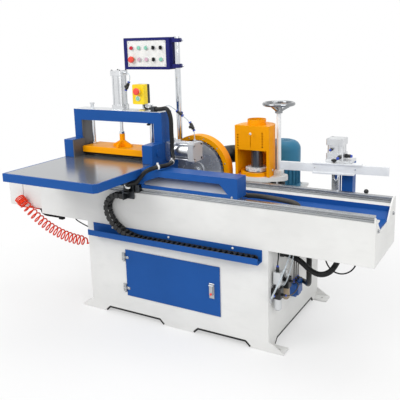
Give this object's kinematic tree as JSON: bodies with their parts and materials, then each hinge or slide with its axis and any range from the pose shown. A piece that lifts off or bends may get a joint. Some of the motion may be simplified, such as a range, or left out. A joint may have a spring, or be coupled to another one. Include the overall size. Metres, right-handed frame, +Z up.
{
  "type": "finger joint shaper",
  "caption": "Woodworking finger joint shaper: a sliding clamp table on a railed bed carries timber past a trim saw and a hooded spindle, over a cabinet base.",
  "frame": {"origin": "on the floor, in the middle of the four anchor bolts of the cabinet", "axes": "+X along the bed in the feed direction, +Y away from the operator, +Z up"},
  "size_m": [2.294, 1.284, 1.562],
  "materials": {
    "white_paint": "satin white enamel",
    "blue_paint": "gloss machine blue enamel",
    "panel_blue": "satin dark blue powder coat",
    "orange_paint": "satin yellow-orange enamel",
    "guard_orange": "satin orange enamel",
    "ground_steel": "ground and polished",
    "dark_steel": "blackened",
    "bright_chrome": "polished",
    "cast_aluminium": "as cast, anodised barrels",
    "motor_teal": "satin blue-green enamel",
    "motor_grey": "satin grey enamel",
    "black_rubber": "smooth",
    "black_plastic": "fine grain",
    "yellow_plastic": "moulded",
    "red_plastic": "moulded",
    "green_plastic": "moulded",
    "red_tube": "polyurethane tube",
    "white_plastic": "laminated plate"
  },
  "bodies": {
    "machine": {"base_cabinet": "white_paint", "chain_tray": "blue_paint", "bed_beam": "white_paint", "bed_trough": "blue_paint", "guide_rails": "ground_steel", "end_box": "white_paint", "feed_cylinder": "cast_aluminium", "saw_motor": "motor_grey", "saw_hood": "guard_orange", "saw_duct": "black_rubber", "shaper_base": "white_paint", "shaper_hood": "orange_paint", "spindle_motor": "motor_teal", "drive_belt": "black_rubber", "panel_pole": "bright_chrome", "aligner_post": "blue_paint", "aligner_cylinder": "cast_aluminium", "air_unit": "cast_aluminium", "machine_hoses": "black_rubber", "coil_hose": "red_tube", "door_hinges": "bright_chrome"},
    "carriage": {"table_top": "ground_steel", "table_frame": "blue_paint", "carriage_arm": "blue_paint", "carriage_blocks": "dark_steel", "gantry": "blue_paint", "carriage_plates": "dark_steel", "press_cylinder": "cast_aluminium", "side_cylinder": "cast_aluminium", "estop_box": "yellow_plastic", "carriage_conduit": "black_rubber", "drag_chain": "black_plastic", "feed_rod": "bright_chrome"},
    "press": {"press_plate": "orange_paint", "press_rods": "bright_chrome"},
    "side_clamp": {"side_pusher": "ground_steel"},
    "door": {"door_panel": "blue_paint"},
    "lock": {"door_lock": "black_plastic"},
    "saw": {"saw_blade": "ground_steel"},
    "quill": {"spindle_quill": "ground_steel"},
    "spindle": {"spindle_shaft": "dark_steel", "cutter_head": "ground_steel"},
    "motor": {"motor_pulley": "dark_steel"},
    "wheel": {"handwheel": "bright_chrome"},
    "aligner": {"aligner_bar": "cast_aluminium"},
    "panel": {"panel_box": "panel_blue", "panel_face": "white_plastic"},
    "switch": {"main_switch": "black_plastic"},
    "index": {"index_knob": "black_plastic"},
    "station_stop": {"station_stop_mushroom": "red_plastic"},
    "station_start": {"station_green_button": "green_plastic"},
    "green_a": {"panel_green_button_left": "green_plastic"},
    "green_b": {"panel_green_button_middle": "green_plastic"},
    "selector_a": {"panel_selector_left": "black_plastic"},
    "selector_b": {"panel_selector_right": "black_plastic"},
    "panel_stop": {"panel_stop_mushroom": "red_plastic"},
    "red_a": {"panel_red_button_left": "red_plastic"},
    "red_b": {"panel_red_button_middle": "red_plastic"},
    "selector_c": {"panel_selector_lower": "black_plastic"},
    "green_c": {"panel_green_button_right": "green_plastic"}
  },
  "joints": [
    {"name": "carriage_slide", "type": "slide", "parent": "machine", "child": "carriage", "axis": [1, 0, 0], "range_m": [0, 1.05], "deforming": ["drag_chain"]},
    {"name": "press_slide", "type": "slide", "parent": "carriage", "child": "press", "axis": [0, 0, 1], "range_m": [-0.01, 0.055]},
    {"name": "side_clamp_slide", "type": "slide", "parent": "carriage", "child": "side_clamp", "axis": [-1, 0, 0], "range_m": [0, 0.014]},
    {"name": "door_hinge", "type": "hinge", "parent": "machine", "child": "door", "pos_m": [-0.306, -0.3785, 0.268], "axis": [0, 0, -1], "range_deg": [0, 110]},
    {"name": "door_latch", "type": "hinge", "parent": "door", "child": "lock", "pos_m": [0.249, -0.3814, 0.2985], "axis": [-1, 0, 0], "range_deg": [0, 60]},
    {"name": "saw_spin", "type": "hinge", "parent": "machine", "child": "saw", "pos_m": [-0.073, 0.06, 0.791], "axis": [0, 1, 0], "continuous": true},
    {"name": "quill_slide", "type": "slide", "parent": "machine", "child": "quill", "axis": [0, 0, 1], "range_m": [-0.008, 0.016]},
    {"name": "handwheel_turn", "type": "hinge", "parent": "machine", "child": "wheel", "pos_m": [0.408, 0.142, 1.134], "axis": [0, 0, 1], "range_deg": [-800, 1500]},
    {"name": "spindle_spin", "type": "hinge", "parent": "quill", "child": "spindle", "pos_m": [0.281, 0.13, 0.8], "axis": [0, 0, 1], "continuous": true},
    {"name": "motor_spin", "type": "hinge", "parent": "machine", "child": "motor", "pos_m": [0.325, 0.4, 0.6], "axis": [0, 0, 1], "continuous": true},
    {"name": "aligner_slide", "type": "slide", "parent": "machine", "child": "aligner", "axis": [0, 0, 1], "range_m": [-0.024, 0]},
    {"name": "panel_swivel", "type": "hinge", "parent": "machine", "child": "panel", "pos_m": [-0.272, 0.2, 1.46], "axis": [0, 0, 1], "range_deg": [-30, 30]},
    {"name": "main_switch_turn", "type": "hinge", "parent": "machine", "child": "switch", "pos_m": [-0.563, -0.318, 0.305], "axis": [-1, 0, 0], "range_deg": [0, 90]},
    {"name": "index_pull", "type": "slide", "parent": "machine", "child": "index", "axis": [0, 0, 1], "range_m": [0, 0.012], "stiffness_N_per_m": 400},
    {"name": "station_stop_press", "type": "slide", "parent": "carriage", "child": "station_stop", "axis": [0, 1, 0], "range_m": [0, 0.005], "stiffness_N_per_m": 900},
    {"name": "station_start_press", "type": "slide", "parent": "carriage", "child": "station_start", "axis": [0, 1, 0], "range_m": [0, 0.004], "stiffness_N_per_m": 700},
    {"name": "panel_green_button_left_press", "type": "slide", "parent": "panel", "child": "green_a", "axis": [0, 1, 0], "range_m": [0, 0.004], "stiffness_N_per_m": 700},
    {"name": "panel_green_button_middle_press", "type": "slide", "parent": "panel", "child": "green_b", "axis": [0, 1, 0], "range_m": [0, 0.004], "stiffness_N_per_m": 700},
    {"name": "panel_selector_left_turn", "type": "hinge", "parent": "panel", "child": "selector_a", "pos_m": [-0.416, 0.16372, 1.497], "axis": [0, -1, 0], "range_deg": [-45, 45]},
    {"name": "panel_selector_right_turn", "type": "hinge", "parent": "panel", "child": "selector_b", "pos_m": [-0.362, 0.16372, 1.497], "axis": [0, -1, 0], "range_deg": [-45, 45]},
    {"name": "panel_stop_mushroom_press", "type": "slide", "parent": "panel", "child": "panel_stop", "axis": [0, 1, 0], "range_m": [0, 0.005], "stiffness_N_per_m": 700},
    {"name": "panel_red_button_left_press", "type": "slide", "parent": "panel", "child": "red_a", "axis": [0, 1, 0], "range_m": [0, 0.004], "stiffness_N_per_m": 700},
    {"name": "panel_red_button_middle_press", "type": "slide", "parent": "panel", "child": "red_b", "axis": [0, 1, 0], "range_m": [0, 0.004], "stiffness_N_per_m": 700},
    {"name": "panel_selector_lower_turn", "type": "hinge", "parent": "panel", "child": "selector_c", "pos_m": [-0.416, 0.16372, 1.427], "axis": [0, -1, 0], "range_deg": [-45, 45]},
    {"name": "panel_green_button_right_press", "type": "slide", "parent": "panel", "child": "green_c", "axis": [0, 1, 0], "range_m": [0, 0.004], "stiffness_N_per_m": 700}
  ],
  "couplings": [
    {"joint": "handwheel_turn", "follows": "quill_slide", "rad_per_m": 1570.8},
    {"joint": "motor_spin", "follows": "spindle_spin", "ratio": 0.57143}
  ]
}
